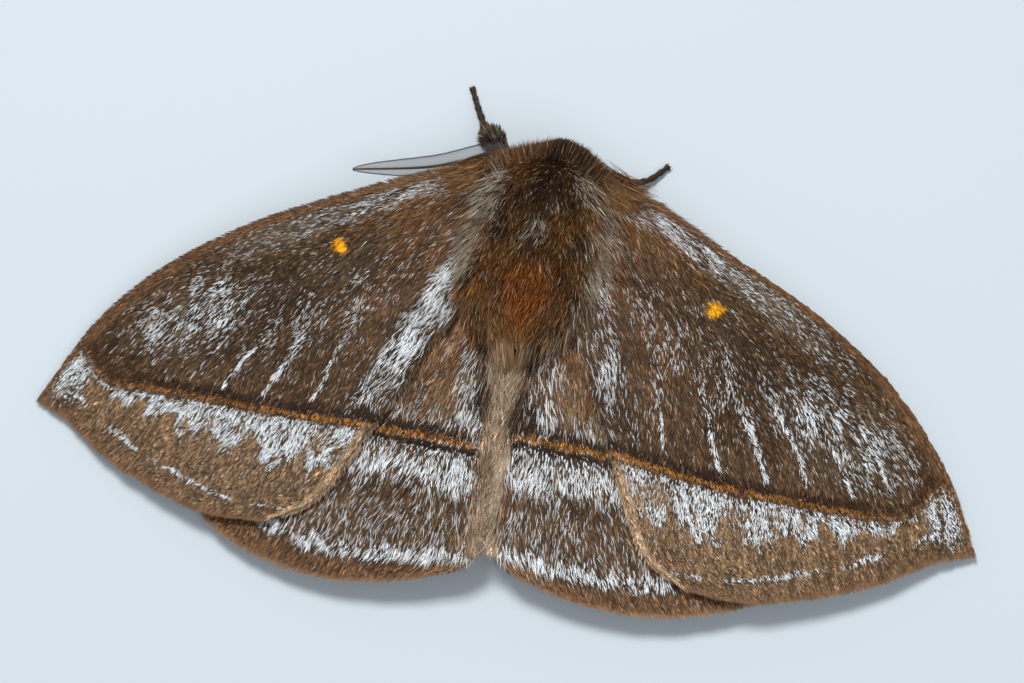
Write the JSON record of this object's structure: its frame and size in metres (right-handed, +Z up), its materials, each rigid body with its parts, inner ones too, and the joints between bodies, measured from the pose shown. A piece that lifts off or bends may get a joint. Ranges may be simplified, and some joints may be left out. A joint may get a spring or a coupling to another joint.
{
  "type": "eupterotid moth",
  "caption": "Life-size eupterotid moth resting with its wings spread flat and swept back over the floor, for a still display or a scene.",
  "frame": {"origin": "on the floor under the middle of the animal's bounding box", "axes": "+X to the animal's left across the spread wings, +Y to its rear, +Z up from the floor it rests on"},
  "size_m": [0.0876, 0.0498, 0.012],
  "materials": {
    "coat": "dense brown hair, matt",
    "wing": "fine scales and hair, matt",
    "eye": "faceted eye, glossy black",
    "antenna": "dark horn, matt",
    "leg": "dark hair and scales, matt"
  },
  "bodies": {
    "root": {"head": "coat", "thorax": "coat", "abdomen": "coat", "eye_left": "eye", "antenna_left": "antenna", "forewing_left": "wing", "hindwing_left": "wing", "foreleg_left": "leg", "midleg_left": "leg", "hindleg_left": "leg", "eye_right": "eye", "antenna_right": "antenna", "forewing_right": "wing", "hindwing_right": "wing", "foreleg_right": "leg", "midleg_right": "leg", "hindleg_right": "leg"}
  },
  "joints": []
}
